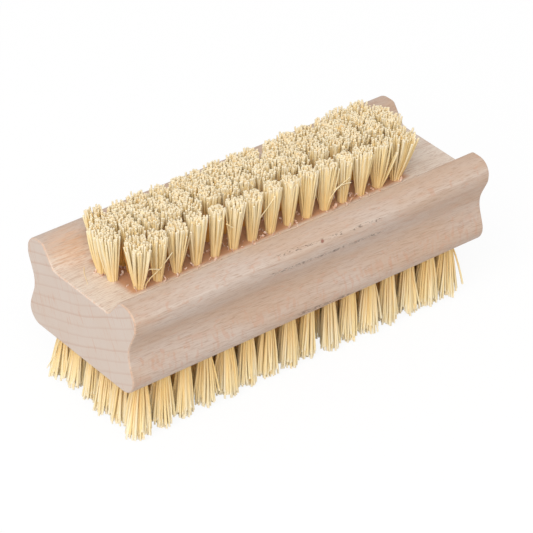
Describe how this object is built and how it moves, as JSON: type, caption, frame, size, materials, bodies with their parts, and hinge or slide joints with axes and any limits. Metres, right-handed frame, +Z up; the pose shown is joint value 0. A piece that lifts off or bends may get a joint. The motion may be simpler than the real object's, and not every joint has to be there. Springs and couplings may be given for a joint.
{
  "type": "nail brush",
  "caption": "Double-sided nail brush: waisted beech block with plant-fibre tufts in a channel along its top and over its flat underside, each held in a drilled hole by a flat wire anchor.",
  "frame": {"origin": "under the middle of the brush, on the plane of the lower bristle tips that it stands on", "axes": "+X along the block, +Y across it towards the back side of the pictured view, +Z up out of the channel"},
  "size_m": [0.095, 0.037, 0.0417],
  "materials": {
    "beech": "bare, fine sanded",
    "bristle": "natural plant fibre, matt",
    "anchor_wire": "drawn flat wire"
  },
  "bodies": {
    "root": {"beech_block": "beech", "top_tufts_row_1_left": "bristle", "top_tufts_row_1_right": "bristle", "top_anchors_row_1": "anchor_wire", "top_tufts_row_2_left": "bristle", "top_tufts_row_2_right": "bristle", "top_anchors_row_2": "anchor_wire", "top_tufts_row_3_left": "bristle", "top_tufts_row_3_right": "bristle", "top_anchors_row_3": "anchor_wire", "top_tufts_row_4_left": "bristle", "top_tufts_row_4_right": "bristle", "top_anchors_row_4": "anchor_wire", "bottom_tufts_row_1_left": "bristle", "bottom_tufts_row_1_right": "bristle", "bottom_anchors_row_1": "anchor_wire", "bottom_tufts_row_2_left": "bristle", "bottom_tufts_row_2_right": "bristle", "bottom_anchors_row_2": "anchor_wire", "bottom_tufts_row_3_left": "bristle", "bottom_tufts_row_3_right": "bristle", "bottom_anchors_row_3": "anchor_wire", "bottom_tufts_row_4_left": "bristle", "bottom_tufts_row_4_right": "bristle", "bottom_anchors_row_4": "anchor_wire", "bottom_tufts_row_5_left": "bristle", "bottom_tufts_row_5_right": "bristle", "bottom_anchors_row_5": "anchor_wire", "bottom_tufts_row_6_left": "bristle", "bottom_tufts_row_6_right": "bristle", "bottom_anchors_row_6": "anchor_wire"}
  },
  "joints": []
}
